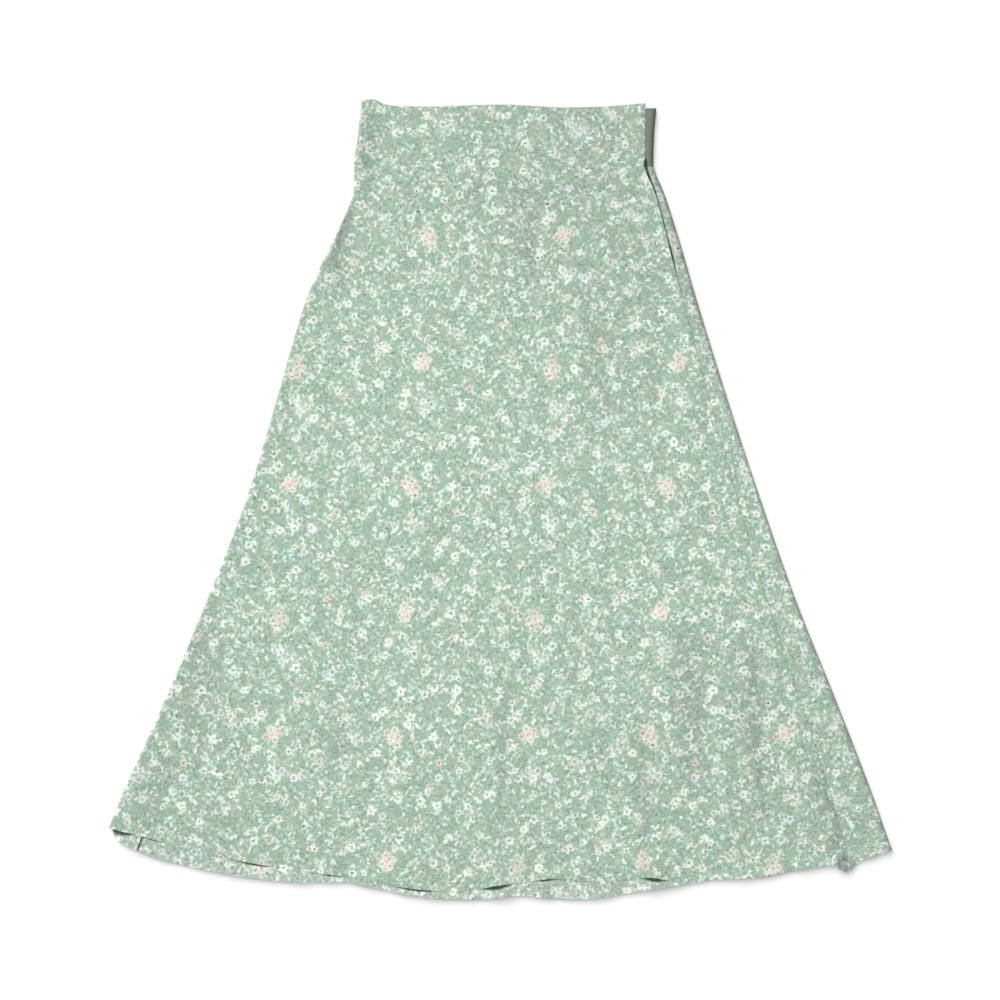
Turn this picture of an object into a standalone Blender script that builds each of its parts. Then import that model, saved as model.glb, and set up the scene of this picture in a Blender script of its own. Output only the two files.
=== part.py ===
"""A flared skirt laid flat on its back, front face up, waist towards +Y.

The skirt is a tube of cloth pressed flat. It lies turned a little, so that the back cloth comes round the
right-hand fold on to the upper face, and the front cloth goes round the left-hand fold to the underside.
Four pieces are sewn together: a front panel and a back panel of printed cloth, a front waistband of the
same cloth, and a plain elastic back waistband.

Metres, +Z up. The origin is under the middle of the flat garment, on the surface it lies on.
"""

import math

import bmesh
import bpy

# Sizes of the whole garment
LENGTH = 0.880
HEM_WIDTH = 0.862
BAND_DEPTH = 0.0715

# Walls
CLOTH_WALL = 0.0012
HEM_WALL = 0.0016
FRONT_BAND_WALL = 0.0017
ELASTIC_WALL = 0.0022
HEM_DEPTH = 0.020
SEAM_GAP = 0.0003

# Where down the skirt the waist's thickness has faded out
WAIST_FADE = 0.20

# Clear height between the upper and the lower cloth
LEAST_CLEAR = 0.0006
WAIST_CLEAR = 0.0007
FOLD_CLEAR = 0.0022
FOLD_REACH = 0.016
MOST_CLEAR = 0.0038

# Grid of each wall
PANEL_ROWS = 24
ROW_LEAN = 1.3
BAND_ROWS = 4
CLOSE_ROW = 0.0025
FRONT_COLUMNS = 56
CLOSE_COLUMN = 0.008
BACK_COLUMNS = 30
FOLD_STEPS = 6
WRAP_COLUMNS = 4

# The two folded edges, and how far each seam lies in from its fold, at each drop below the waist
SIDE_COLUMNS = ("drop", "left", "right", "left_wrap", "right_wrap")
SIDES = (
    (0.000, -0.1535, 0.1722, 0.0130, 0.0130),
    (0.040, -0.1575, 0.1688, 0.0120, 0.0100),
    (0.072, -0.1617, 0.1680, 0.0115, 0.0090),
    (0.083, -0.1617, 0.1716, 0.0115, 0.0090),
    (0.100, -0.1620, 0.1792, 0.0120, 0.0095),
    (0.113, -0.1663, 0.1836, 0.0125, 0.0102),
    (0.144, -0.1804, 0.1936, 0.0130, 0.0120),
    (0.219, -0.2145, 0.2156, 0.0155, 0.0150),
    (0.329, -0.2470, 0.2497, 0.0195, 0.0195),
    (0.439, -0.2805, 0.2860, 0.0240, 0.0250),
    (0.549, -0.3234, 0.3245, 0.0285, 0.0315),
    (0.659, -0.3696, 0.3685, 0.0335, 0.0390),
    (0.769, -0.4191, 0.4110, 0.0385, 0.0460),
    (0.800, -0.4314, 0.4218, 0.0395, 0.0480),
    (0.826, -0.4415, 0.4312, 0.0405, 0.0495),
)

# Waist edges: how far each waistband's top edge lies below the garment's highest point
WAIST_COLUMNS = ("across", "front", "back")
WAIST = (
    (0.00, 0.0022, 0.0040),
    (0.02, 0.0000, 0.0050),
    (0.05, 0.0012, 0.0066),
    (0.10, 0.0055, 0.0085),
    (0.22, 0.0066, 0.0095),
    (0.47, 0.0045, 0.0095),
    (0.70, 0.0076, 0.0095),
    (0.90, 0.0038, 0.0090),
    (1.00, 0.0028, 0.0088),
)

# Hem: height of the hem line above the garment's lowest point, on the upper and the lower face
HEM_MIDDLE = 0.06
HEM_COLUMNS = ("across", "upper", "lower")
HEM = (
    (0.000, 0.0792, 0.0792),
    (0.012, 0.0760, 0.0668),
    (0.038, 0.0710, 0.0566),
    (0.073, 0.0625, 0.0445),
    (0.130, 0.0500, 0.0330),
    (0.193, 0.0397, 0.0236),
    (0.255, 0.0306, 0.0190),
    (0.300, 0.0262, 0.0195),
    (0.345, 0.0185, 0.0130),
    (0.397, 0.0118, 0.0040),
    (0.445, 0.0085, 0.0003),
    (0.475, 0.0105, 0.0000),
    (0.500, 0.0155, 0.0020),
    (0.535, 0.0185, 0.0045),
    (0.570, 0.0228, 0.0012),
    (0.610, 0.0196, 0.0004),
    (0.660, 0.0200, 0.0058),
    (0.697, 0.0245, 0.0110),
    (0.725, 0.0200, 0.0145),
    (0.780, 0.0222, 0.0225),
    (0.835, 0.0245, 0.0270),
    (0.880, 0.0320, 0.0360),
    (0.920, 0.0380, 0.0430),
    (0.930, 0.0362, 0.0440),
    (0.941, 0.0312, 0.0458),
    (0.952, 0.0352, 0.0475),
    (0.966, 0.0432, 0.0496),
    (0.984, 0.0485, 0.0520),
    (1.000, 0.0539, 0.0539),
)

# Flutes of the upper cloth: each rises at the hem, leans as it goes up, and fades out
FLUTE_COLUMNS = ("hem_x", "top_x", "reach", "half_width", "height")
FLUTES = (
    (-0.412, -0.392, 0.20, 0.022, 0.0012),
    (-0.350, -0.262, 0.34, 0.034, 0.0011),
    (-0.270, -0.188, 0.42, 0.032, 0.0018),
    (-0.190, -0.136, 0.30, 0.026, 0.0014),
    (-0.095, -0.060, 0.36, 0.036, 0.0020),
    (-0.003, 0.010, 0.42, 0.030, 0.0030),
    (0.052, 0.046, 0.18, 0.020, 0.0014),
    (0.169, 0.120, 0.46, 0.034, 0.0029),
    (0.238, 0.206, 0.40, 0.028, 0.0022),
    (0.322, 0.262, 0.34, 0.026, 0.0022),
    (0.378, 0.350, 0.16, 0.016, 0.0014),
)

# Long low ripples of the upper cloth below the waist, from one drop to another
RIPPLE_COLUMNS = ("top_x", "top_drop", "low_x", "low_drop", "half_width", "height")
RIPPLES = (
    (-0.150, -0.01, -0.158, 0.14, 0.009, 0.0012),
    (-0.012, 0.05, -0.020, 0.30, 0.026, 0.0009),
    (0.060, 0.04, 0.082, 0.34, 0.024, 0.0010),
    (0.128, 0.10, 0.158, 0.40, 0.022, 0.0009),
    (-0.098, 0.08, -0.150, 0.38, 0.026, 0.0009),
)


def table(columns, rows):
    """The table's columns by name, each a list from the first row to the last."""
    return {name: [row[i] for row in rows] for i, name in enumerate(columns)}


def smooth(places, values):
    """A function that runs through the values in a smooth curve without overshooting them."""
    steps = [b - a for a, b in zip(places, places[1:])]
    slopes = [(b - a) / step for a, b, step in zip(values, values[1:], steps)]
    lean = [slopes[0]]
    for before, after in zip(slopes, slopes[1:]):
        lean.append(2 * before * after / (before + after) if before * after > 0 else 0.0)
    lean.append(slopes[-1])

    def value(place):
        place = min(max(place, places[0]), places[-1])
        i = 0
        while i < len(steps) - 1 and place > places[i + 1]:
            i += 1
        t = (place - places[i]) / steps[i]
        start = (2 * t**3 - 3 * t**2 + 1) * values[i] + (t**3 - 2 * t**2 + t) * steps[i] * lean[i]
        end = (3 * t**2 - 2 * t**3) * values[i + 1] + (t**3 - t**2) * steps[i] * lean[i + 1]
        return start + end

    return value


def curves(columns, rows):
    """A smooth function for each column after the first, over the first."""
    named = table(columns, rows)
    places = named[columns[0]]
    return {name: smooth(places, named[name]) for name in columns[1:]}


SIDE = curves(SIDE_COLUMNS, SIDES)
WAIST_EDGE = curves(WAIST_COLUMNS, WAIST)
HEM_EDGE = curves(HEM_COLUMNS, HEM)


def drop_of(y):
    """How far a place is below the garment's highest point."""
    return LENGTH / 2 - y


def bell(distance, half_width):
    """1 at no distance, falling smoothly to 0 at twice the half width."""
    share = min(abs(distance) / (2 * half_width), 1.0)
    return (1 + math.cos(math.pi * share)) / 2


def flute_rise(x, y):
    """Height that the flutes and ripples give the upper cloth at a place."""
    up = y + LENGTH / 2
    rise = 0.0
    for row in FLUTES:
        flute = dict(zip(FLUTE_COLUMNS, row))
        along = min(up / flute["reach"], 1.0)
        centre = flute["hem_x"] + (flute["top_x"] - flute["hem_x"]) * along
        rise += flute["height"] * (1 - along) ** 1.2 * bell(x - centre, flute["half_width"])
    for row in RIPPLES:
        ripple = dict(zip(RIPPLE_COLUMNS, row))
        along = (drop_of(y) - ripple["top_drop"]) / (ripple["low_drop"] - ripple["top_drop"])
        if 0 < along < 1:
            centre = ripple["top_x"] + (ripple["low_x"] - ripple["top_x"]) * along
            rise += ripple["height"] * math.sin(math.pi * along) * bell(x - centre, ripple["half_width"])
    return rise


def clear_height(x, y):
    """Clear height between the two cloths: softly rounded at the folds, and raised by the flutes."""
    drop = drop_of(y)
    from_fold = min(x - SIDE["left"](drop), SIDE["right"](drop) - x)
    rounding = FOLD_CLEAR * math.exp(-max(from_fold, 0.0) / FOLD_REACH)
    at_waist = WAIST_CLEAR * bell(drop, BAND_DEPTH)
    return min(LEAST_CLEAR + at_waist + rounding + flute_rise(x, y), MOST_CLEAR)


def wall_height(y):
    """Room for the two walls on each other: the waistbands' at the top, and the hems' further down."""
    at_waist = ELASTIC_WALL + FRONT_BAND_WALL
    at_hem = 2 * HEM_WALL
    return at_waist + (at_hem - at_waist) * min(drop_of(y) / WAIST_FADE, 1.0)


def outer_height(x, y):
    """Height of the upper cloth's outer face."""
    return wall_height(y) + clear_height(x, y)


def fold_radius(edge, y):
    """Outer radius of a folded edge."""
    return outer_height(edge, y) / 2


def flat_span(y):
    """Where the flat of the tube starts and ends, between the two rounded folds."""
    left, right = SIDE["left"](drop_of(y)), SIDE["right"](drop_of(y))
    return left + fold_radius(left, y), right - fold_radius(right, y)


def place(across, turn, y):
    """A point of the tube's outer face. Across is 0 at the left fold and 1 at the right one; turn is 0 on
    the upper face, 1 on the underside, and between them on a fold."""
    start, end = flat_span(y)
    x = start + across * (end - start)
    share = (1 + math.cos(math.pi * turn)) / 2
    if not 0 < turn < 1:
        return x, y, outer_height(x, y) * share
    side = "left" if across < 0.5 else "right"
    edge = SIDE[side](drop_of(y))
    inwards = fold_radius(edge, y) * (1 - math.sin(math.pi * turn))
    return edge + (inwards if side == "left" else -inwards), y, outer_height(edge, y) * share


def across_at(x, y):
    start, end = flat_span(y)
    return (x - start) / (end - start)


def right_seam(y, side=0):
    """The right-hand seam's place across the upper face, or that of the cloth's edge on one side of it."""
    drop = drop_of(y)
    return across_at(SIDE["right"](drop) - SIDE["right_wrap"](drop) + side * SEAM_GAP / 2, y)


def left_seam(y, side=0):
    """The left-hand seam's place across the underside, or that of the cloth's edge on one side of it."""
    drop = drop_of(y)
    return across_at(SIDE["left"](drop) + SIDE["left_wrap"](drop) + side * SEAM_GAP / 2, y)


def spread(count, close_share):
    """Shares from 0 to 1 in even steps, with one more close to the end."""
    return [i / count for i in range(count)] + [1 - close_share, 1.0]


def front_stations():
    """Places round the front cloth, from the right seam over the upper face to the left seam underneath."""
    upper = [(share, 0.0) for share in reversed(spread(FRONT_COLUMNS, CLOSE_COLUMN))]
    fold = [(0.0, i / FOLD_STEPS) for i in range(1, FOLD_STEPS)]
    under = [(i / WRAP_COLUMNS, 1.0) for i in range(WRAP_COLUMNS + 1)]
    return upper + fold + under


def front_across(share, turn, y):
    if turn == 1:
        return share * left_seam(y, -1)
    return share * right_seam(y, -1)


def back_stations():
    """Places round the back cloth, from the left seam over the underside to the right seam on top."""
    under = [(i / BACK_COLUMNS, 1.0) for i in range(BACK_COLUMNS + 1)]
    fold = [(1.0, 1 - i / FOLD_STEPS) for i in range(1, FOLD_STEPS)]
    upper = [(1 - i / WRAP_COLUMNS, 0.0) for i in range(WRAP_COLUMNS + 1)]
    return under + fold + upper


def back_across(share, turn, y):
    if 0 < turn < 1:
        return 1.0
    start = left_seam(y, 1) if turn == 1 else right_seam(y, 1)
    return start + share * (1 - start)


def hem_y(across, turn):
    """Where the hem is. The underside has the lower hem line, and the upper face and folds the upper one."""
    edge = HEM_EDGE["lower" if turn == 1 else "upper"]
    return edge(across) - LENGTH / 2


def seam_y(across):
    """The waist seam, which follows the front waist edge at half its waviness."""
    return LENGTH / 2 - BAND_DEPTH - WAIST_EDGE["front"](across) / 2


def panel_rows():
    """Shares of the way from the waist seam to the hem. They lie closer together higher up. A close row at
    the seam keeps its edge square, and a close pair marks where the hem's turning starts."""
    hem_start = 1 - HEM_DEPTH / (LENGTH - BAND_DEPTH)
    plain = [hem_start * (i / PANEL_ROWS) ** ROW_LEAN for i in range(1, PANEL_ROWS + 1)]
    return [0.0, CLOSE_ROW] + plain + [hem_start + CLOSE_ROW, 1.0]


def grid_object(name, stations, rows, point):
    """An open sheet with a column for each station and a row for each share. Its last two rows, the hem's,
    are in the vertex group that makes the wall thicker."""
    mesh = bpy.data.meshes.new(name)
    sheet = bmesh.new()
    wide, high = len(stations) - 1, len(rows) - 1
    bmesh.ops.create_grid(sheet, x_segments=wide, y_segments=high, size=1)
    thick = []
    for vertex in sheet.verts:
        column = round((vertex.co.x + 1) / 2 * wide)
        row = round((vertex.co.y + 1) / 2 * high)
        vertex.co = point(*stations[column], rows[row])
        if row >= high - 1:
            thick.append(vertex.index)
    sheet.to_mesh(mesh)
    sheet.free()
    made = bpy.data.objects.new(name, mesh)
    made.vertex_groups.new(name="hem").add(thick, 1.0, "REPLACE")
    mesh.shade_smooth()
    return made


def wall(made, thickness, thick_at_hem=None):
    """Gives an open sheet its wall, inwards from its outer face."""
    solidify = made.modifiers.new("Wall", "SOLIDIFY")
    solidify.thickness = thick_at_hem or thickness
    solidify.offset = -1
    solidify.use_even_offset = True
    if thick_at_hem:
        solidify.vertex_group = "hem"
        solidify.thickness_vertex_group = thickness / thick_at_hem


def material(name, colour, roughness):
    made = bpy.data.materials.new(name)
    made.use_nodes = True
    shader = made.node_tree.nodes["Principled BSDF"]
    shader.inputs["Base Color"].default_value = (*colour, 1.0)
    shader.inputs["Roughness"].default_value = roughness
    shader.inputs["Metallic"].default_value = 0.0
    return made


def panel(name, stations, across_of):
    """A skirt panel, from the waist seam to the hem."""

    def point(share, turn, row):
        top = seam_y(across_of(share, turn, LENGTH / 2 - BAND_DEPTH)) - SEAM_GAP / 2
        low = hem_y(across_of(share, turn, HEM_MIDDLE - LENGTH / 2), turn)
        y = top + row * (low - top)
        return place(across_of(share, turn, y), turn, y)

    made = grid_object(name, stations, panel_rows(), point)
    wall(made, CLOTH_WALL, HEM_WALL)
    return made


def waistband(name, stations, across_of, edge, thickness):
    """A waistband, from its top edge down to the waist seam."""

    def point(share, turn, row):
        low = seam_y(across_of(share, turn, LENGTH / 2 - BAND_DEPTH)) + SEAM_GAP / 2
        top = LENGTH / 2 - edge(across_of(share, turn, LENGTH / 2))
        y = top + row * (low - top)
        return place(across_of(share, turn, y), turn, y)

    rows = [i / BAND_ROWS for i in range(BAND_ROWS)] + [1 - 10 * CLOSE_ROW, 1.0]
    made = grid_object(name, stations, rows, point)
    wall(made, thickness)
    return made


def clear_scene():
    for old in list(bpy.data.objects):
        bpy.data.objects.remove(old)


def main():
    clear_scene()
    skirt = bpy.data.collections.new("Flared skirt")
    bpy.context.scene.collection.children.link(skirt)
    printed = material("Printed cloth", (0.47, 0.58, 0.49), 0.85)
    elastic = material("Plain elastic", (0.16, 0.17, 0.165), 0.80)
    pieces = (
        (panel("front_panel", front_stations(), front_across), printed),
        (panel("back_panel", back_stations(), back_across), printed),
        (
            waistband("front_waistband", front_stations(), front_across, WAIST_EDGE["front"], FRONT_BAND_WALL),
            printed,
        ),
        (
            waistband("back_waistband", back_stations(), back_across, WAIST_EDGE["back"], ELASTIC_WALL),
            elastic,
        ),
    )
    for made, finish in pieces:
        made.data.materials.append(finish)
        skirt.objects.link(made)


main()
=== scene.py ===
"""The flared skirt as the photograph shows it: laid flat on a white surface and seen from straight above."""

import math
import bpy
import numpy as np
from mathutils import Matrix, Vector


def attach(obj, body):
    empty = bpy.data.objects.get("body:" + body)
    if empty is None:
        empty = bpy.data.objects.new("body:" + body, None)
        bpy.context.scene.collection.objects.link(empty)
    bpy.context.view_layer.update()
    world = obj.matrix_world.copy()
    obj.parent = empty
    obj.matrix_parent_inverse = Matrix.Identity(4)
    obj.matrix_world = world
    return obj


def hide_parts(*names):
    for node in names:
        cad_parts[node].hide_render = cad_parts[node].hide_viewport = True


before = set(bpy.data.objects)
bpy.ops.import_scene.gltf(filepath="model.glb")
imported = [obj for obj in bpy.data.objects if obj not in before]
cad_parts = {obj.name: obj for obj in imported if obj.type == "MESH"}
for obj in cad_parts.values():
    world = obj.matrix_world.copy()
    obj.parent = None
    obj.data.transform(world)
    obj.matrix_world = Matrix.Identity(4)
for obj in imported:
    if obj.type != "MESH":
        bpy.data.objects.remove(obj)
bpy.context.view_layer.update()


def set_inputs(node, **values):
    for name, value in values.items():
        node.inputs[name.replace("_", " ")].default_value = value


def add_object(name, data):
    made = bpy.data.objects.new(name, data)
    bpy.context.collection.objects.link(made)
    return made


def rows_of(columns, *rows):
    """The table's rows, each with its columns' names."""
    return [dict(zip(columns.split(), row)) for row in rows]


def smooth(places, values):
    """A smooth curve through the values, which doesn't overshoot them."""
    steps = np.diff(places)
    slopes = np.diff(values) / steps
    lean = np.empty(len(places))
    lean[0], lean[-1] = slopes[0], slopes[-1]
    before, after = slopes[:-1], slopes[1:]
    safe = np.where(before * after > 0, before + after, 1.0)
    lean[1:-1] = np.where(before * after > 0, 2 * before * after / safe, 0.0)

    def value(place):
        place = np.clip(place, places[0], places[-1])
        i = np.clip(np.searchsorted(places, place, side="right") - 1, 0, len(steps) - 1)
        t = (place - places[i]) / steps[i]
        start = (2 * t**3 - 3 * t**2 + 1) * values[i] + (t**3 - 2 * t**2 + t) * steps[i] * lean[i]
        end = (3 * t**2 - 2 * t**3) * values[i + 1] + (t**3 - t**2) * steps[i] * lean[i + 1]
        return start + end

    return value


def curves(columns, *rows):
    """Smooth functions of the table's first column, by the names of the others."""
    places, *others = np.array(rows).T
    return {name: smooth(places, values) for name, values in zip(columns.split()[1:], others)}


# Sizes of the whole garment, in metres. A drop is measured down from the top of the waist.
LENGTH = 0.880
TOP = LENGTH / 2
BAND_DEPTH = 0.0715
PANEL_LENGTH = LENGTH - BAND_DEPTH
ELASTIC_WALL = 0.0022
FRONT_BAND_WALL = 0.0017
HEM_WALL = 0.0016
WAIST_FADE = 0.20
HEM_MIDDLE = 0.06
HEM_DEPTH = 0.020

# Clear height between the upper and the lower cloth
LEAST_CLEAR = 0.0006
WAIST_CLEAR = 0.0007
FOLD_CLEAR = 0.0022
FOLD_REACH = 0.016
MOST_CLEAR = 0.0062
TIGHTEST = 0.0004

# Thickness of the cloth as it shows
CLOTH = 0.0006
HEM_CLOTH = 0.0010
BAND_CLOTH = 0.0012
ELASTIC = 0.0018
CRISP = math.radians(50)

# The folds at the two sides, and how far from each the seam lies
SIDE = curves(
    "drop left right left_wrap right_wrap",
    (0.0, -0.1535, 0.1722, 0.013, 0.013),
    (0.04, -0.1575, 0.1688, 0.012, 0.01),
    (0.072, -0.1617, 0.168, 0.0115, 0.009),
    (0.083, -0.1617, 0.1716, 0.0115, 0.009),
    (0.1, -0.162, 0.1792, 0.012, 0.0095),
    (0.113, -0.1663, 0.1836, 0.0125, 0.0102),
    (0.144, -0.1804, 0.1936, 0.013, 0.012),
    (0.219, -0.2145, 0.2156, 0.0155, 0.015),
    (0.329, -0.247, 0.2497, 0.0195, 0.0195),
    (0.439, -0.2805, 0.286, 0.024, 0.025),
    (0.549, -0.3234, 0.3245, 0.0285, 0.0315),
    (0.659, -0.3696, 0.3685, 0.0335, 0.039),
    (0.769, -0.4191, 0.411, 0.0385, 0.046),
    (0.8, -0.4314, 0.4218, 0.0395, 0.048),
    (0.826, -0.4415, 0.4312, 0.0405, 0.0495),
)

# The waist's edges: drops of the front's and the back's, at shares of the way across
WAIST_EDGE = curves(
    "across front back",
    (0.0, 0.0008, 0.004), (0.012, -0.0011, 0.0048), (0.035, -0.0008, 0.006),
    (0.052, 0.0016, 0.0066), (0.07, 0.0042, 0.0074), (0.1, 0.006, 0.0085), (0.22, 0.0067, 0.0095),
    (0.47, 0.0045, 0.0095), (0.7, 0.0076, 0.0095), (0.81, 0.0069, 0.0093), (0.92, 0.0046, 0.009),
    (0.97, 0.0031, 0.0089), (1.0, 0.0028, 0.0088),
)

# The hem's edges: how far the upper and the lower cloth end above the lowest place
HEM_EDGE = curves(
    "across upper lower",
    (0.0, 0.0792, 0.0792), (0.012, 0.076, 0.0668), (0.038, 0.071, 0.0566),
    (0.073, 0.0625, 0.0445), (0.13, 0.05, 0.033), (0.193, 0.0397, 0.0236), (0.255, 0.0306, 0.019),
    (0.3, 0.0262, 0.0195), (0.345, 0.0185, 0.013), (0.397, 0.0118, 0.004),
    (0.445, 0.0085, 0.0003), (0.475, 0.0105, 0.0), (0.5, 0.0155, 0.002), (0.535, 0.0185, 0.0045),
    (0.57, 0.0228, 0.0012), (0.61, 0.0196, 0.0004), (0.66, 0.02, 0.0058), (0.697, 0.0245, 0.011),
    (0.725, 0.02, 0.0145), (0.78, 0.0222, 0.0225), (0.835, 0.0245, 0.027), (0.88, 0.032, 0.036),
    (0.92, 0.0376, 0.043), (0.931, 0.0384, 0.044), (0.935, 0.0352, 0.0448),
    (0.939, 0.0322, 0.0455), (0.944, 0.0311, 0.046), (0.949, 0.0324, 0.0468),
    (0.953, 0.0354, 0.0475), (0.959, 0.04, 0.0485), (0.966, 0.0434, 0.0496),
    (0.984, 0.0489, 0.052), (1.0, 0.0541, 0.0541),
)

# Flutes of the upper cloth: each rises at the hem, leans as it goes up, and fades out
FLUTE_FADE = 1.2
FLUTES = rows_of(
    "hem_x top_x reach half height",
    (-0.412, -0.392, 0.2, 0.022, 0.0012),
    (-0.35, -0.262, 0.34, 0.034, 0.0011),
    (-0.27, -0.188, 0.42, 0.032, 0.0018),
    (-0.19, -0.136, 0.3, 0.026, 0.0014),
    (-0.095, -0.06, 0.36, 0.036, 0.002),
    (-0.003, 0.01, 0.42, 0.03, 0.003),
    (0.052, 0.046, 0.18, 0.02, 0.0014),
    (0.169, 0.12, 0.46, 0.034, 0.0029),
    (0.238, 0.206, 0.4, 0.028, 0.0022),
    (0.322, 0.262, 0.34, 0.026, 0.0022),
    (0.378, 0.35, 0.16, 0.016, 0.0014),
)

# Long low ripples of the upper cloth, from one drop to another
RIPPLES = rows_of(
    "top_x top_drop low_x low_drop half height",
    (-0.15, -0.01, -0.158, 0.14, 0.009, 0.0012),
    (-0.012, 0.05, -0.02, 0.3, 0.026, 0.0009),
    (0.06, 0.04, 0.082, 0.34, 0.024, 0.001),
    (0.128, 0.1, 0.158, 0.4, 0.022, 0.0009),
    (-0.098, 0.08, -0.15, 0.38, 0.026, 0.0009),
)

# Creases of the upper cloth, each with a sideways bow. A trough has a height below nothing. First and last:
# how much of the height is left at the ends.
CREASE_SWELL = 0.7
CREASE_WANDER = 0.25
CREASES = rows_of(
    "x0 y0 x1 y1 bow half height first last",
    (-0.156, 0.345, -0.182, 0.23, 0.006, 0.006, -0.002, 0.2, 0.3),
    (-0.177, 0.3, -0.181, 0.205, 0.0, 0.007, -0.0014, 0.0, 0.0),
    (-0.138, 0.434, -0.142, 0.335, 0.001, 0.006, -0.0015, 0.8, 0.0),
    (-0.112, 0.434, -0.106, 0.24, 0.001, 0.009, 0.0008, 0.8, 0.0),
    (0.023, 0.364, 0.03, 0.215, -0.002, 0.0085, -0.0017, 0.1, 0.0),
    (0.109, 0.238, 0.113, 0.06, 0.003, 0.0105, -0.0014, 0.0, 0.0),
    (0.169, 0.18, 0.1705, 0.075, 0.001, 0.007, -0.001, 0.0, 0.0),
    (0.208, -0.13, 0.219, -0.33, 0.004, 0.013, -0.0024, 0.0, 0.3),
    (0.273, -0.14, 0.294, -0.38, 0.003, 0.0085, -0.0027, 0.1, 0.3),
    (0.347, -0.265, 0.374, -0.392, 0.003, 0.0095, -0.0028, 0.0, 0.9),
    (0.153, -0.225, 0.16, -0.405, -0.002, 0.008, -0.0017, 0.0, 0.6),
    (0.114, -0.215, 0.1155, -0.335, 0.002, 0.0075, -0.0013, 0.0, 0.0),
    (0.01, -0.2, 0.007, -0.36, 0.003, 0.008, -0.0013, 0.0, 0.2),
    (-0.177, -0.205, -0.179, -0.3, 0.002, 0.008, -0.0012, 0.0, 0.0),
    (-0.325, -0.135, -0.337, -0.3, 0.003, 0.015, -0.0014, 0.0, 0.0),
    (-0.369, -0.28, -0.387, -0.366, 0.002, 0.011, -0.0014, 0.0, 0.4),
    (-0.25, -0.1, -0.254, -0.23, 0.003, 0.011, 0.001, 0.0, 0.0),
    (-0.1, 0.16, -0.098, -0.11, 0.003, 0.011, 0.001, 0.0, 0.0),
    (-0.11, -0.22, -0.1, -0.39, 0.003, 0.01, 0.001, 0.0, 0.3),
    (0.043, 0.19, 0.052, 0.0, 0.004, 0.012, 0.0011, 0.0, 0.0),
    (0.186, -0.11, 0.188, -0.22, 0.002, 0.009, 0.0011, 0.0, 0.0),
    (-0.035, 0.345, 0.01, 0.338, 0.003, 0.005, -0.0009, 0.0, 0.0),
    (0.07, 0.34, 0.13, 0.347, 0.003, 0.005, -0.0008, 0.0, 0.0),
    (-0.12, 0.343, -0.07, 0.336, -0.003, 0.005, -0.0007, 0.0, 0.0),
    (0.205, 0.14, 0.235, 0.05, 0.002, 0.006, -0.001, 0.0, 0.0),
    (0.15, 0.3, 0.183, 0.215, 0.002, 0.006, -0.0008, 0.0, 0.0),
)

# Places where the upper cloth's hem stands off the lower one, and how wide a slit opens below it
LIFTS = rows_of(
    "x half height gap",
    (-0.4205, 0.0108, 0.003, 0.0052),
    (-0.384, 0.009, 0.0003, 0.0013),
    (-0.276, 0.014, 0.0018, 0.0036),
    (-0.262, 0.006, 0.0004, 0.0014),
    (-0.1885, 0.009, 0.0014, 0.003),
    (-0.097, 0.014, 0.002, 0.0032),
    (-0.082, 0.0065, 0.0004, 0.0018),
    (-0.004, 0.0115, 0.003, 0.0064),
    (0.0495, 0.0085, 0.0014, 0.0034),
    (0.169, 0.0085, 0.003, 0.0062),
    (0.242, 0.0042, 0.001, 0.003),
)
LIFT_REACH = 0.018

# The lower cloth's curl at its hem, and the curl's waves: length, start and share
HEM_CURL = 0.0028
HEM_CURL_REACH = 0.012
CURL_AT_FOLDS = 0.35
HEM_WAVES = ((0.083, 0.0, 0.30), (0.037, 1.0, 0.20))

# The lip of the lower cloth beyond the upper one's hem
LIP_HEIGHT = 0.00105
LIP_SLOPE = 0.0010
LIP_START = 0.75
OPEN_WIDTH = 0.0012

# How the upper cloth settles at its hem
HUG = 0.022
HEM_REST = 0.0002
FOLD_FREE = 0.020

# The dark line of painted shade along that hem: its depth, width, plain share and waves
HEM_LINE_SHADE = 0.26
HEM_LINE_REACH = 0.0006
HEM_LINE_PLAIN = 0.55
HEM_LINE_WAVES = ((0.0430, 1.2, 0.25), (0.0117, 0.0, 0.20))

# The knob where the right-hand seam ends, with painted shade in its rims, a tuck line and a puckered ring.
# Rings have a distance from its middle, a half width and an amount.
SEAM_END = (0.3785, -0.4010)
KNOB_RISES = ((0.0, 0.0042, 0.0016), (0.0085, 0.0030, 0.0008))
KNOB_RIM_SHADES = ((0.0056, 0.0008, 0.40), (0.0026, 0.0005, 0.20))
KNOB_TUCK_SHADE = 0.42
KNOB_TUCK_AT = (-0.0010, 0.0080)
KNOB_TUCK_SIZE = (0.0006, 0.0060)
KNOB_PUCKER_SHADE = 0.16
KNOB_PUCKER_LENGTH = 0.0034
KNOB_PUCKER_RING = (0.0085, 0.0028, 1.0)

# The side opening under the waist, at the right-hand seam: how wide it gapes, at each drop
OPENING = curves(
    "drop gap lift",
    (0.0, 0.0001, 0.0), (0.0615, 0.0001, 0.0), (0.0655, 0.0026, 0.0003), (0.07, 0.0046, 0.0005),
    (0.0735, 0.004, 0.0006), (0.0762, 0.0006, 0.0004), (0.078, 0.0008, 0.0006),
    (0.08, 0.0034, 0.0009), (0.084, 0.004, 0.001), (0.088, 0.0026, 0.0008),
    (0.094, 0.0016, 0.0007), (0.102, 0.002, 0.0007), (0.112, 0.0013, 0.0005),
    (0.125, 0.0012, 0.0005), (0.136, 0.0016, 0.0006), (0.147, 0.0011, 0.0005),
    (0.156, 0.0016, 0.0006), (0.168, 0.0026, 0.0009), (0.179, 0.002, 0.0008),
    (0.188, 0.0012, 0.0004), (0.194, 0.0007, 0.0002), (0.2, 0.0001, 0.0), (0.25, 0.0001, 0.0),
    (0.257, 0.0005, 0.0001), (0.264, 0.0001, 0.0), (0.276, 0.0005, 0.0001), (0.284, 0.0001, 0.0),
    (0.9, 0.0001, 0.0),
)
UNDERLAP = 0.0022
SLIT_LEFT = 0.35
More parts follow.
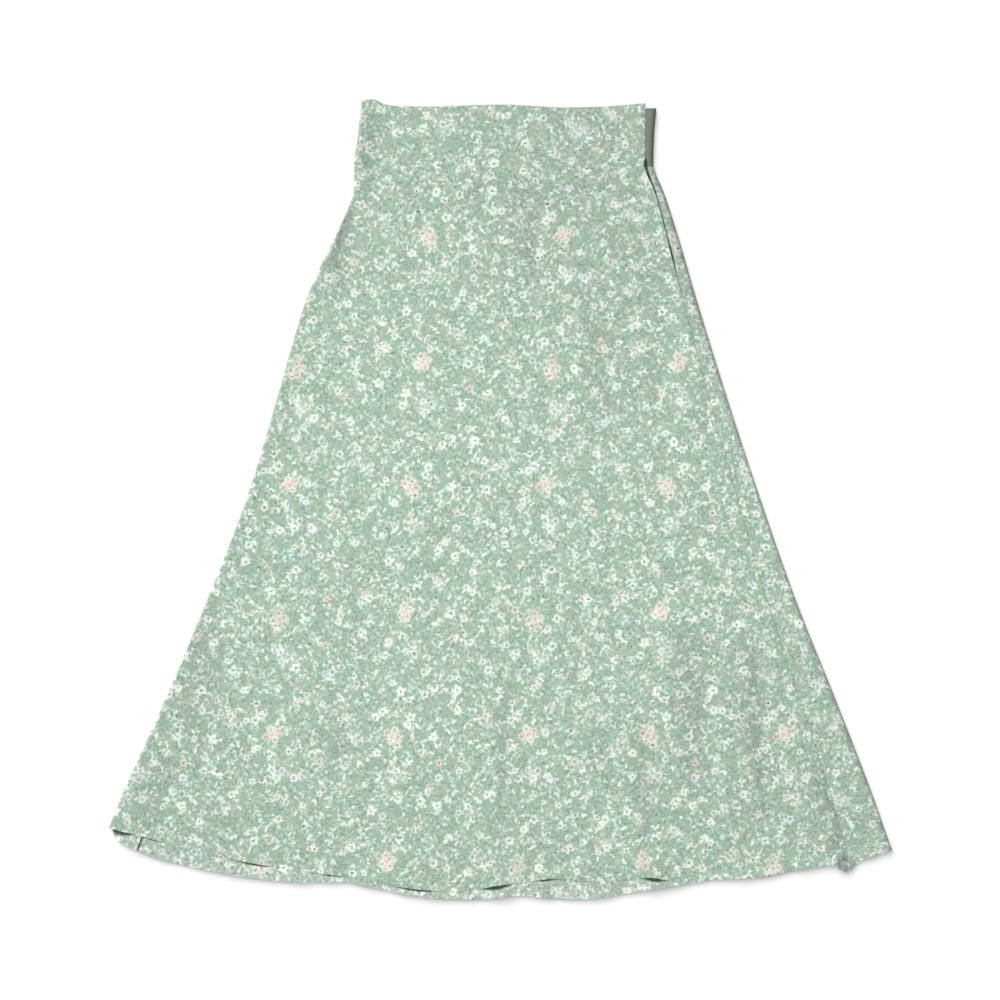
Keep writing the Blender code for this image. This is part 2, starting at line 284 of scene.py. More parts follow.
SLIT_RIGHT = 0.65
HALF_GAP = 0.00005

# The right-hand seam: its dip and puckers where it is closed, and how its edges stand where it gapes
SEAM_DIP, SEAM_DIP_REACH = 0.0009, 0.0020
PUCKER, PUCKER_REACH, PUCKER_LENGTH = 0.00022, 0.007, 0.017
GAPE_DOWN, GAPE_REACH = -0.8, 0.006

# The back's cloth going under the front's edge: how far down, and where in the gap
TUCK_DOWN = 0.0008
TUCK_START = 0.35
TUCK_SLOPE = 0.30
TUCK_SOFT = 0.0005

# The front's cloth standing up beside the left-hand seam, where the hem shows it
WRAP_RISE = 0.0016
WRAP_REACH = 0.003
WRAP_FADE = 0.004
SEEN_UP = 0.003

# Shade: 0 in full light, 1 in the dark
TROUGH_SHADE = 0.14
TROUGH_DEPTH = 0.0018
HEM_SLIT_SHADE = 0.82
SIDE_SLIT_SHADE = 0.95
SEAM_SHADE = 0.90
FOLD_SHADE = 0.50
LEAST_DUSK = 0.020
LEAST_BELOW = 0.05
HEM_FREE = 0.006

# A slit at the hem: its soft lower edge, how far up it goes and fades, and the width that makes it dark
HEM_SLIT_SOFT = 0.0012
HEM_SLIT_UP = 0.004
HEM_SLIT_FADE = 0.002
HEM_SLIT_FULL = 0.0011

# The side opening: the width that makes it dark, and the least share
DARK_GAP = 0.0014
LEAST_DARK = 0.08
DARK_SOFT = 0.0008

# The dark strip of painted shade inside the left-hand seam
BY_SEAM = 0.0026
BY_SEAM_SOFT = 0.0012
BY_SEAM_FADE = 0.002

# Lines where the cloth is pressed into a sharp fold and hardly sees the light
SHADED = rows_of(
    "x0 y0 x1 y1 bow half amount",
    (-0.1595, 0.344, -0.1815, 0.252, 0.005, 0.0011, 0.34),
    (-0.156, 0.43, -0.156, 0.325, 0.0, 0.007, 0.05),
    (-0.164, 0.33, -0.185, 0.23, 0.004, 0.008, 0.09),
    (0.201, -0.13, 0.21, -0.31, 0.004, 0.0016, 0.1),
    (0.276, -0.145, 0.292, -0.365, 0.003, 0.0016, 0.12),
    (0.354, -0.28, 0.373, -0.385, 0.003, 0.0018, 0.12),
    (0.0235, 0.35, 0.03, 0.225, -0.002, 0.0014, 0.08),
    (0.156, -0.25, 0.16, -0.39, -0.002, 0.0014, 0.08),
    (-0.326, -0.17, -0.335, -0.28, 0.003, 0.002, 0.06),
)

# Wide places that slope away from the light
DUSKY = rows_of(
    "x y across along amount",
    (0.085, 0.34, 0.095, 0.13, 0.05),
    (0.15, 0.27, 0.06, 0.12, 0.03),
    (-0.02, 0.345, 0.12, 0.08, 0.028),
    (0.29, -0.27, 0.07, 0.11, 0.026),
    (-0.345, -0.25, 0.05, 0.09, 0.02),
    (-0.09, 0.15, 0.12, 0.16, -0.02),
)

# The back's cloth beside the side opening: its painted shade, and the painted shade that outlines the fold
BESIDE = curves(
    "drop shade outline reach",
    (0.07, 0.02, 0.34, 0.0011), (0.11, 0.05, 0.32, 0.0013), (0.14, 0.12, 0.3, 0.0014),
    (0.2, 0.12, 0.26, 0.0014), (0.26, 0.09, 0.26, 0.0014), (0.34, 0.06, 0.14, 0.0012),
    (0.44, 0.01, 0.1, 0.001), (0.56, 0.01, 0.16, 0.0022), (0.7, 0.02, 0.22, 0.0034),
    (0.826, 0.02, 0.22, 0.0036),
)


def drop_of(y):
    return TOP - y


def bell(distance, half):
    """1 in the middle, half at the half width, and 0 from twice that on."""
    share = np.minimum(np.abs(distance) / (2 * half), 1.0)
    return (1 + np.cos(np.pi * share)) / 2


def hump(distance, reach):
    return np.exp(-((distance / reach) ** 2))


def eased(value):
    value = np.clip(value, 0, 1)
    return value * value * (3 - 2 * value)


def waves(place, rows):
    return sum(share * np.sin(2 * np.pi * place / length + start) for length, start, share in rows)


def rings(away, rows):
    return sum(amount * bell(away - distance, half) for distance, half, amount in rows)


def flute_rise(x, y):
    rise = np.zeros_like(x)
    for flute in FLUTES:
        along = np.clip((y + TOP) / flute["reach"], 0, 1)
        centre = flute["hem_x"] + (flute["top_x"] - flute["hem_x"]) * along
        rise += flute["height"] * (1 - along) ** FLUTE_FADE * bell(x - centre, flute["half"])
    for ripple in RIPPLES:
        along = (drop_of(y) - ripple["top_drop"]) / (ripple["low_drop"] - ripple["top_drop"])
        centre = ripple["top_x"] + (ripple["low_x"] - ripple["top_x"]) * along
        wave = np.sin(np.pi * np.clip(along, 0, 1))
        rise += ripple["height"] * wave * bell(x - centre, ripple["half"])
    return rise


def by_line(line, x, y):
    """A place by a bowed line: the share of the way along, how far beside, and how far past an end."""
    run, climb = line["x1"] - line["x0"], line["y1"] - line["y0"]
    length = math.hypot(run, climb)
    ux, uy = run / length, climb / length
    along = ((x - line["x0"]) * ux + (y - line["y0"]) * uy) / length
    share = np.clip(along, 0, 1)
    aside = (x - line["x0"]) * uy - (y - line["y0"]) * ux - line["bow"] * 4 * share * (1 - share)
    past = np.maximum(np.maximum(-along, along - 1), 0) * length
    return share, aside, past


def crease_rise(x, y):
    rise = np.zeros_like(x)
    for crease in CREASES:
        share, aside, past = by_line(crease, x, y)
        at_end = np.where(share < 0.5, crease["first"], crease["last"])
        strength = np.maximum(np.sin(np.pi * share) ** CREASE_SWELL, at_end)
        fade = hump(past, 2 * crease["half"])
        half = crease["half"] * (1.0 + CREASE_WANDER * np.sin(5 * share))
        rise += crease["height"] * strength * fade * bell(aside, half)
    return rise


def hem_lines(x):
    """Where the upper and the lower cloth end, at each place across the hem."""
    across = np.clip(across_at(x, HEM_MIDDLE - TOP + 0 * x), 0, 1)
    return HEM_EDGE["upper"](across) - TOP, HEM_EDGE["lower"](across) - TOP


def lift_sum(x, value):
    total = np.zeros_like(x)
    for lift in LIFTS:
        total += lift[value] * bell(x - lift["x"], lift["half"])
    return total


def free_of_folds(x, y):
    """1 on the flat of the skirt, falling to 0 at the folds."""
    start, end = flat_span(y)
    return eased(np.minimum(x - start, end - x) / FOLD_FREE)


def lower_plain(x, y):
    """The lower cloth's outer face: flat on the surface, curling up a little at its hem."""
    up = np.maximum(y - hem_lines(x)[1], 0)
    share = CURL_AT_FOLDS + (1 - CURL_AT_FOLDS) * free_of_folds(x, y)
    return HEM_CURL * (1 + waves(x, HEM_WAVES)) * np.exp(-up / HEM_CURL_REACH) * share


def lower_height(x, y):
    """The same, with a lip beyond the upper cloth's hem."""
    edge, width = hem_lines(x)[0], lift_sum(x, "gap")
    opened = np.clip(width / OPEN_WIDTH, 0, 1)
    below = edge - LIP_START * width - y
    ramp = eased((below + (1 - opened) * LIP_SLOPE) / (LIP_SLOPE + LIP_SLOPE * opened))
    return lower_plain(x, y) + (LIP_HEIGHT + lift_sum(x, "height")) * ramp * free_of_folds(x, y)


def seam_end(x, y):
    """The knob at the end of the right-hand seam: its rise and its shade."""
    dx, dy = x - SEAM_END[0], y - SEAM_END[1]
    away = np.hypot(dx, dy)
    # painted shade: a dark line where the cloth tucks, and a dark puckered ring
    across = bell(dx - KNOB_TUCK_AT[0], KNOB_TUCK_SIZE[0])
    tuck = KNOB_TUCK_SHADE * across * bell(dy - KNOB_TUCK_AT[1], KNOB_TUCK_SIZE[1])
    wave = 1 + np.sin(dx * 2 * np.pi / KNOB_PUCKER_LENGTH)
    pucker = KNOB_PUCKER_SHADE * wave * rings(away, (KNOB_PUCKER_RING,))
    return rings(away, KNOB_RISES), rings(away, KNOB_RIM_SHADES) + tuck + pucker


def hem_shade(x, y):
    """The fine uneven line of painted shade along the upper cloth's hem, where it meets the lower one."""
    up = np.maximum(y - hem_lines(x)[0], 0)
    uneven = HEM_LINE_PLAIN + waves(x, HEM_LINE_WAVES)
    return HEM_LINE_SHADE * uneven * np.exp(-up / HEM_LINE_REACH)


def upper_height(x, y):
    """The upper cloth's outer face. At its hem it settles onto the lower cloth, except at the slits."""
    up = np.maximum(y - hem_lines(x)[0], 0)
    plain = outer_height(x, y) + seam_groove(x, y)
    settled = lower_plain(x, y) + 2 * HEM_CLOTH + HEM_REST
    share = np.exp(-up / HUG) * free_of_folds(x, y)
    rise = lift_sum(x, "height") * np.exp(-up / LIFT_REACH) + seam_end(x, y)[0]
    return plain + (settled - plain) * share + rise


def clear_height(x, y):
    drop = drop_of(y)
    from_fold = np.minimum(x - SIDE["left"](drop), SIDE["right"](drop) - x)
    rounding = FOLD_CLEAR * np.exp(-np.maximum(from_fold, 0) / FOLD_REACH)
    at_waist = WAIST_CLEAR * bell(drop, BAND_DEPTH)
    plain = LEAST_CLEAR + at_waist + rounding + flute_rise(x, y)
    return np.clip(plain + crease_rise(x, y), TIGHTEST, MOST_CLEAR)


def wall_height(y):
    at_waist = ELASTIC_WALL + FRONT_BAND_WALL
    at_hem = 2 * HEM_WALL
    return at_waist + (at_hem - at_waist) * np.minimum(drop_of(y) / WAIST_FADE, 1.0)


def outer_height(x, y):
    return wall_height(y) + clear_height(x, y)


def fold_radius(edge, y):
    return outer_height(edge, y) / 2


def fold_edge(on_left, y):
    return np.where(on_left, SIDE["left"](drop_of(y)), SIDE["right"](drop_of(y)))


def flat_span(y):
    """Where the flat of the skirt starts and ends, between the rounded folds."""
    left, right = SIDE["left"](drop_of(y)), SIDE["right"](drop_of(y))
    return left + fold_radius(left, y), right - fold_radius(right, y)


def across_at(x, y):
    start, end = flat_span(y)
    return (x - start) / (end - start)


def right_seam_x(y):
    drop = drop_of(y)
    return SIDE["right"](drop) - SIDE["right_wrap"](drop)


def right_seam(y):
    """Across the upper face, where the front's cloth ends at the side opening and the back's begins."""
    seam, gap = right_seam_x(y), OPENING["gap"](drop_of(y))
    return across_at(seam - SLIT_LEFT * gap, y), across_at(seam + SLIT_RIGHT * gap, y)


def left_seam_x(y):
    drop = drop_of(y)
    return SIDE["left"](drop) + SIDE["left_wrap"](drop)


def left_seam(y):
    """Across the lower face, the two edges that meet at the left-hand seam."""
    return across_at(left_seam_x(y) - HALF_GAP, y), across_at(left_seam_x(y) + HALF_GAP, y)


def hem_y(across, turn):
    upper, lower = HEM_EDGE["upper"](across), HEM_EDGE["lower"](across)
    return np.where(turn == 1, lower, upper) - TOP


def seam_y(across):
    """The waist seam, which follows half of the waist's own curve."""
    return TOP - BAND_DEPTH - WAIST_EDGE["front"](across) / 2


def seam_groove(x, y):
    """How far the upper cloth dips into the right-hand seam, or stands up where the seam gapes."""
    drop = drop_of(y)
    off = x - right_seam_x(y)
    closed = 1 - np.clip(OPENING["gap"](drop) / OPEN_WIDTH, 0, 1)
    dip = -SEAM_DIP * closed * hump(off, SEAM_DIP_REACH)
    pucker = PUCKER * closed * np.sin(drop * 2 * np.pi / PUCKER_LENGTH) * hump(off, PUCKER_REACH)
    lift = OPENING["lift"](drop) * np.where(off < 0, 1.0, GAPE_DOWN) * hump(off, GAPE_REACH)
    return dip + pucker + lift


def unfolded(x, turn, y, main_turn):
    """Where a place lies on the cloth's own flat, which goes on past a fold."""
    start, end = flat_span(y)
    on_left = x < (start + end) / 2
    line = np.where(on_left, start, end)
    outwards = np.where(on_left, -1.0, 1.0)
    above, below = flat_span(y + LEAN_STEP), flat_span(y - LEAN_STEP)
    lean = np.where(on_left, above[0] - below[0], above[1] - below[1]) / (2 * LEAN_STEP)
    slant = np.sqrt(1 + lean**2)
    arc = np.pi * fold_radius(fold_edge(on_left, y), y) * np.abs(turn - main_turn)
    away = np.where((turn > 0) & (turn < 1), 0, np.abs(x - line))
    out, along = arc + away / slant, -outwards * away * lean / slant
    u = line + outwards * out / slant + along * lean / slant
    v = y - outwards * out * lean / slant + along / slant
    at_home = turn == main_turn
    return np.where(at_home, x, u), np.where(at_home, y, v)


# Columns of the meshes: shares of the way across a face, closer to each other at seams and edges.
# Turn: 0 on the upper face, 1 on the lower one, and in between on the fold.
LEAN_STEP = 0.008
NEAR_SEAM = (0.004, 0.007, 0.010, 0.014, 0.018, 0.024)
NEAR_EDGE = 0.002
NEAR_LEFT_SEAM = (0.0012, 0.0024, 0.0040)
TUCKED = (0.0, -0.35, -0.7, -1.0)
WIDER_BEYOND = 10
CLOSE_TO_HEM = 0.032


def spread(count):
    return np.linspace(0, 1, count + 1)


def front_stations(columns, wrap, fold):
    """Shares and turns of the front's columns, from the right-hand seam round the left fold."""
    even = np.insert(spread(columns), -1, 1 - NEAR_EDGE)
    upper = np.union1d(even, 1 - np.array(NEAR_SEAM) / 2)[::-1]
    turn = np.linspace(0, 1, fold + 1)[1:-1]
    under = spread(wrap)
    share = np.concatenate([upper, np.zeros(len(turn)), under])
    return share, np.concatenate([np.zeros(len(upper)), turn, np.ones(len(under))])


def front_across(share, turn, y):
    return np.where(turn == 1, share * left_seam(y)[0], share * right_seam(y)[0])


def back_stations(columns, wrap, fold):
    """Shares and turns of the back's columns, from the left-hand seam round the right fold."""
    under = np.insert(spread(columns), 1, NEAR_LEFT_SEAM)
    turn = np.linspace(1, 0, fold + 1)[1:-1]
    beyond = np.union1d(spread(wrap), WIDER_BEYOND * np.array(NEAR_SEAM))
    upper = np.concatenate([beyond[:0:-1], TUCKED])
    share = np.concatenate([under, np.ones(len(turn)), upper])
    return share, np.concatenate([np.ones(len(under)), turn, np.zeros(len(upper))])


def back_across(share, turn, y):
    """Beyond the seam, at shares below nothing, the back's cloth goes on under the front's edge."""
    start = np.where(turn == 1, left_seam(y)[1], right_seam(y)[1])
    flat = start + share * (1 - start)
    tucked = across_at(right_seam_x(y) + SLIT_RIGHT * OPENING["gap"](drop_of(y)) + share * UNDERLAP, y)
    flat = np.where(share < 0, tucked, flat)
    return np.where((turn > 0) & (turn < 1), 1.0, flat)


def grid_object(name, x, y, z, cloth_x, cloth_y, shade, thick):
    """An open sheet through rows of points from the waist down, with its cloth coordinates and its shade.
    As many of the last rows as thick says make the hem."""
    rows, columns = x.shape
    points = np.stack([x, y, z], axis=-1).reshape(-1, 3)
    index = np.arange(rows * columns).reshape(rows, columns)
    corners = [index[:-1, :-1], index[:-1, 1:], index[1:, 1:], index[1:, :-1]]
    faces = np.stack(corners, axis=-1).reshape(-1, 4)
    mesh = bpy.data.meshes.new(name)
    mesh.vertices.add(len(points))
    mesh.vertices.foreach_set("co", points.ravel())
    mesh.loops.add(faces.size)
    mesh.loops.foreach_set("vertex_index", faces.ravel())
    mesh.polygons.add(len(faces))
    mesh.polygons.foreach_set("loop_start", np.arange(0, faces.size, 4))
    mesh.update(calc_edges=True)
    layer = mesh.uv_layers.new(name="Cloth")
    flat = np.stack([cloth_x, cloth_y], axis=-1).reshape(-1, 2)
    layer.data.foreach_set("uv", flat[faces.ravel()].ravel())
    mesh.validate()
    mesh.shade_smooth()
    mesh.attributes.new("Shade", "FLOAT", "POINT").data.foreach_set("value", shade.ravel())
    made = add_object(name, mesh)
    if thick:
        group = made.vertex_groups.new(name="hem")
        group.add(index[-thick:].ravel().tolist(), 1.0, "REPLACE")
    return made


def wall(made, thickness, thick_at_hem=None):
    """Gives an open sheet its wall, inwards, with a crisp cut edge."""
    solidify = made.modifiers.new("Wall", "SOLIDIFY")
    solidify.thickness = thick_at_hem or thickness
    solidify.offset = -1
    solidify.use_even_offset = True
    solidify.material_offset = 1
    if thick_at_hem:
        solidify.vertex_group = "hem"
        solidify.thickness_vertex_group = thickness / thick_at_hem
    graph = bpy.context.evaluated_depsgraph_get()
    closed = bpy.data.meshes.new_from_object(made.evaluated_get(graph))
    made.modifiers.clear()
    made.data = closed
    closed.shade_smooth()
    closed.set_sharp_from_angle(angle=CRISP)


def slit_shade(x, y):
    """How dark the lower cloth is where a slit at the hem shows it."""
    edge, width = hem_lines(x)[0], lift_sum(x, "gap")
    seen = eased((y - (edge - width)) / HEM_SLIT_SOFT) * eased((edge + HEM_SLIT_UP - y) / HEM_SLIT_FADE)
    return HEM_SLIT_SHADE * seen * np.clip(width / HEM_SLIT_FULL, 0, 1)


def line_shade(x, y):
    """How dark the troughs and the pressed fold lines of the upper cloth are."""
    total = TROUGH_SHADE * np.clip(-crease_rise(x, y) / TROUGH_DEPTH, 0, 1)
    for line in SHADED:
        share, aside, _ = by_line(line, x, y)
        total += line["amount"] * np.sin(np.pi * share) ** 0.5 * bell(aside, line["half"])
    # nothing shades the hem's edge
    return total * eased((y - hem_lines(x)[0]) / HEM_FREE)


def dusk(x, y):
    """How much less light the wide slopes of the upper cloth get."""
    total = LEAST_DUSK + np.zeros_like(x)
    for place in DUSKY:
        across = hump(x - place["x"], place["across"])
        total += place["amount"] * across * hump(y - place["y"], place["along"])
    return total


def seen_at_hem(x, y, fade):
    """1 on the lower cloth that shows below the upper one's hem, fading out just above that hem."""
    return eased((hem_lines(x)[0] + SEEN_UP - y) / fade)


def front_shape(x, turn, y):
    """Heights and shade of the front's cloth."""
    z = np.where(turn == 0, upper_height(x, y), lower_height(x, y))
    # the wrapped cloth's edge stands up beside the left-hand seam, where the hem shows it
    stands = WRAP_RISE * seen_at_hem(x, y, WRAP_FADE) * np.exp(-np.abs(left_seam_x(y) - x) / WRAP_REACH)
    z = z + np.where(turn == 1, stands, 0)
    above = line_shade(x, y) + seam_end(x, y)[1] + dusk(x, y) + hem_shade(x, y)
    return z, np.where(turn == 0, above, np.where(turn == 1, slit_shade(x, y), 0))


def back_shape(x, turn, y):
    """Heights and shade of the back's cloth, which is in the dark where a slit shows it."""
    drop = drop_of(y)
    gap, off = OPENING["gap"](drop), x - right_seam_x(y)
    tuck = 1 - eased((off - TUCK_START * gap) / (TUCK_SLOPE * gap + TUCK_SOFT))
    upper = upper_height(x, y) - (TUCK_DOWN + gap / 2) * tuck
    z = np.where(turn == 0, upper, lower_height(x, y))
    in_slit = tuck * np.clip(gap / DARK_GAP, LEAST_DARK, 1) * eased((off + UNDERLAP) / DARK_SOFT)
    beside = eased((BY_SEAM - (x - left_seam_x(y))) / BY_SEAM_SOFT) * seen_at_hem(x, y, BY_SEAM_FADE)
    # the fold on the right turns away from the light
    outline = BESIDE["outline"](drop)
    turned = FOLD_SHADE * eased((turn - 0.05) / 0.30) + outline
    near_fold = outline * np.exp(-(flat_span(y)[1] - x) / BESIDE["reach"](drop))
    near_fold = near_fold + (BESIDE["shade"](drop) + dusk(x, y)) + seam_end(x, y)[1]
    above = np.maximum(SIDE_SLIT_SHADE * in_slit, near_fold)
    below = np.maximum(np.maximum(slit_shade(x, y), SEAM_SHADE * beside), LEAST_BELOW)
    return z, np.where(turn == 0, above, np.where(turn == 1, below, turned))


def close_to_hem(rows, close_rows):
    """Shares of the way down a panel, closer to each other near the hem."""
    near = 1 - CLOSE_TO_HEM / PANEL_LENGTH
    return np.concatenate([np.linspace(0, near, rows), np.linspace(near, 1, close_rows + 1)[1:]])


def piece(name, stations, down, across_of, shape_of, main_turn, edge=None):
    """A panel from the waist seam to the hem or, where the waist's edge is given, a band above the seam."""
    share, turn, down = stations[0][None, :], stations[1][None, :], down[:, None]
    seam = seam_y(across_of(share, turn, TOP - BAND_DEPTH + 0 * share))
    if edge:
        top, low, thick = TOP - edge(across_of(share, turn, TOP + 0 * share)), seam, 0
    else:
        top, low = seam, hem_y(across_of(share, turn, HEM_MIDDLE - TOP + 0 * share), turn)
        thick = int(np.count_nonzero(down > 1 - HEM_DEPTH / PANEL_LENGTH))
    y = top + down * (low - top)
    share, turn = share + 0 * y, turn + 0 * y
    start, end = flat_span(y)
    x = start + across_of(share, turn, y) * (end - start)
    on_fold = (turn > 0) & (turn < 1)
    z, shade = shape_of(x, turn, y)
    upper, lower = upper_height(x, y), lower_height(x, y)
    z = np.where(on_fold, lower + (upper - lower) * (1 + np.cos(np.pi * turn)) / 2, z)
    on_left = x < (start + end) / 2
    bulge = fold_radius(fold_edge(on_left, y), y) * np.sin(np.pi * turn) * np.where(on_left, -1, 1)
    u, v = unfolded(x, turn, y, main_turn)
    return grid_object(name, np.where(on_fold, x + bulge, x), y, z, u, v, shade, thick)


# The print's repeat, where it lies, and how far it leans
REPEAT = (0.2816, 0.2750)
REPEAT_AT = (0.0447, 0.0140)
REPEAT_LEAN = 0.0704

# How far the print's lines wander, and the posies, as a share of their spacing
WANDER = 0.0034
POSY_WANDER = (0.14, 0.12)

# Noises of the cloth: scale, detail and roughness, some with a sideways start first
WANDER_NOISE = (250.0, 1.0, 0.5)
MOTTLE = (330.0, 2.0, 0.6)
DRIFT = (40.0, 2.0, 0.5)
PATCH = (3.7, 55.0, 2.0, 0.5)
CROWD = (7.1, 75.0, 2.0, 0.55)
ROSY = (1.3, 90.0, 2.0, 0.5)
SLUB = (900.0, 1.0, 0.5)
CRUMPLE = (46.0, 3.0, 0.5)
ELASTIC_TONE = (500.0, 2.0, 0.6)

# How far apart the threads and the elastic's ribs are
WARP, WEFT = 0.00055, 0.00060
RIB, THREAD = 0.0022, 0.0011

# A flower: the dips between its petals, its soft edge, and how dark the eyes in a bunch are
WHOLE_TURN = 6.283
PETAL_DIP = 0.13
PETAL_EDGE = (0.0013, -0.0012)
EYE_DEPTHS = (0.75, 0.40, 0.58)


def rgb(*screen):
    """A colour's linear values, from its screen values of 0 to 255."""
    shares = [value / 255 for value in screen]
    return tuple(v / 12.92 if v <= 0.04045 else ((v + 0.055) / 1.055) ** 2.4 for v in shares)


class Nodes:
    """Short names for a material's nodes. Every call gives the new node's socket."""

    def __init__(self, tree):
        self.tree = tree

    def join(self, value, socket):
        if isinstance(value, bpy.types.NodeSocket):
            self.tree.links.new(value, socket)
        else:
            socket.default_value = value

    def math(self, operation, *values):
        node = self.tree.nodes.new("ShaderNodeMath")
        node.operation = operation
        for i, value in enumerate(values):
            self.join(value, node.inputs[i])
        return node.outputs[0]

    def add(self, a, b):
        return self.math("ADD", a, b)

    def sub(self, a, b):
        return self.math("SUBTRACT", a, b)

    def mul(self, a, b):
        return self.math("MULTIPLY", a, b)

    def fma(self, a, b, c):
        return self.math("MULTIPLY_ADD", a, b, c)

    def away(self, x, y):
        return self.math("SQRT", self.add(self.mul(x, x), self.mul(y, y)))

    def wave(self, place, length):
        return self.math("SINE", self.mul(place, 2 * math.pi / length))

    def turned(self, x, y, chance):
        """The place after a turn that the chance gives."""
        turn = self.mul(chance, WHOLE_TURN)
        cos, sin = self.math("COSINE", turn), self.math("SINE", turn)
        along = self.add(self.mul(x, cos), self.mul(y, sin))
        return along, self.sub(self.mul(y, cos), self.mul(x, sin))

    def step(self, value, low, high):
        """0 below low, 1 above high, smooth between; high may be below low."""
        node = self.tree.nodes.new("ShaderNodeMapRange")
        node.interpolation_type = "SMOOTHSTEP"
        self.join(value, node.inputs["Value"])
        self.join(low, node.inputs["From Min"])
        self.join(high, node.inputs["From Max"])
        return node.outputs["Result"]

    def mix(self, share, a, b):
        node = self.tree.nodes.new("ShaderNodeMix")
        node.data_type = "RGBA"
        self.join(share, node.inputs[0])
        for value, socket in ((a, node.inputs[6]), (b, node.inputs[7])):
            self.join(value if isinstance(value, bpy.types.NodeSocket) else (*value, 1.0), socket)
        return node.outputs[2]

    def tint(self, colour, value, low, high, share, tone):
        """Mixes a share of a tone into the colour, where the value is past a soft step."""
        return self.mix(self.mul(self.step(value, low, high), share), colour, tone)

    def grey(self, colour):
        node = self.tree.nodes.new("ShaderNodeRGBToBW")
        self.join(colour, node.inputs[0])
        return self.combine(*[node.outputs[0]] * 3)

    def combine(self, x, y, z=0.0):
        node = self.tree.nodes.new("ShaderNodeCombineXYZ")
        for i, value in enumerate((x, y, z)):
            self.join(value, node.inputs[i])
        return node.outputs[0]

    def split(self, vector):
        node = self.tree.nodes.new("ShaderNodeSeparateXYZ")
        self.join(vector, node.inputs[0])
        return node.outputs[:]

    def chance(self, x, y):
        """Three numbers from 0 to 1 that belong to a pair of whole numbers."""
        node = self.tree.nodes.new("ShaderNodeTexWhiteNoise")
        node.noise_dimensions = "2D"
        self.join(self.combine(x, y), node.inputs["Vector"])
        return self.split(node.outputs["Color"])

    def noise(self, vector, scale, detail, roughness, output="Fac"):
        node = self.tree.nodes.new("ShaderNodeTexNoise")
        node.noise_dimensions = "2D"
        self.join(vector, node.inputs["Vector"])
        set_inputs(node, Scale=scale, Detail=detail, Roughness=roughness)
        return node.outputs[output]

    def field(self, x, y, start, *settings):
        """A noise that starts elsewhere, so that it isn't like another one."""
        return self.noise(self.combine(self.add(x, start), y), *settings)

    def shade(self):
        """How far a place is hidden from the light, as the mesh has it."""
        node = self.tree.nodes.new("ShaderNodeAttribute")
        node.attribute_name = "Shade"
        return node.outputs["Fac"]


def motifs(n, s, t, grid, seed, room, most_room, kind):
    """A turned grid with one motif to a cell, a*a + b*b cells to each repeat. Gives how far a place is from
    the motif's middle, and the motif's chances. A motif keeps its room from the cell's edges."""
    a, b = grid
    count = a * a + b * b
    turn_back = (-b * pow(a, -1, count)) % count
    u = n.fma(s, float(a), n.mul(t, float(b)))
    v = n.fma(t, float(a), n.mul(s, float(-b)))
    iu, iv = n.math("FLOOR", u), n.math("FLOOR", v)
    key = n.math("FLOORED_MODULO", n.fma(iv, float(turn_back), iu), float(count))
    key = n.add(n.math("ROUND", key), 0.5)
    c1, c2, c3 = n.chance(key, seed + 0.5)
    size = math.sqrt(REPEAT[0] * REPEAT[1] / count)
    margin = min(most_room, room / size)
    dx, dy = [
        n.mul(n.sub(n.sub(place, cell), n.fma(chance, 1 - 2 * margin, margin)), size)
        for place, cell, chance in ((u, iu, c1), (v, iv, c2))
    ]
    return dx, dy, c3, n.chance(key, seed + kind)


def from_posy(n, s, t):
    """How far a place is from the nearest posy, of two each way to a repeat, and the posy's chances."""
    u, v = n.mul(s, 2.0), n.mul(t, 2.0)
    iu, iv = n.math("ROUND", u), n.math("ROUND", v)
    ku = n.math("FLOORED_MODULO", iu, 2.0)
    kv = n.math("FLOORED_MODULO", iv, 2.0)
    chances = n.chance(n.add(ku, 3.5), n.add(kv, 7.5))
    across, along = [n.fma(c, far, -far / 2) for c, far in zip(chances, POSY_WANDER)]
    dx = n.mul(n.sub(n.sub(u, iu), across), REPEAT[0] / 2)
    dy = n.mul(n.sub(n.sub(v, iv), along), REPEAT[1] / 2)
    return dx, dy, chances


def petals(n, dx, dy, radius, spin):
    """How much of a place one soft five-petalled flower covers, and how far the place is from its middle."""
    away = n.away(dx, dy)
    wave = n.math("COSINE", n.fma(n.math("ARCTAN2", dy, dx), 5.0, n.mul(spin, WHOLE_TURN)))
    reach = n.mul(n.fma(wave, PETAL_DIP, 1 - PETAL_DIP), radius)
    return n.step(n.sub(away, reach), *PETAL_EDGE), away


def bunch(n, colour, dx, dy, chance, strength, middle, places, radius, tones, eye):
    """Lays a bunch of flowers round a middle, turned by chance. Its tones are taken in order."""
    rx, ry = n.turned(n.sub(dx, middle[0]), n.sub(dy, middle[1]), chance)
    for i, (px, py, size) in enumerate(places):
        cover, away = petals(n, n.sub(rx, px), n.sub(ry, py), radius * size, n.add(chance, 0.37 * i))
        throat = n.step(away, 0.46 * radius * size, 0.18 * radius * size)
        cover = n.mul(n.mul(cover, n.fma(throat, -0.5, 1.0)), strength)
        colour = n.mix(cover, colour, tones[i % len(tones)])
        colour = n.tint(colour, away, 0.0016, 0.0004, EYE_DEPTHS[i % 3], eye)
    return colour


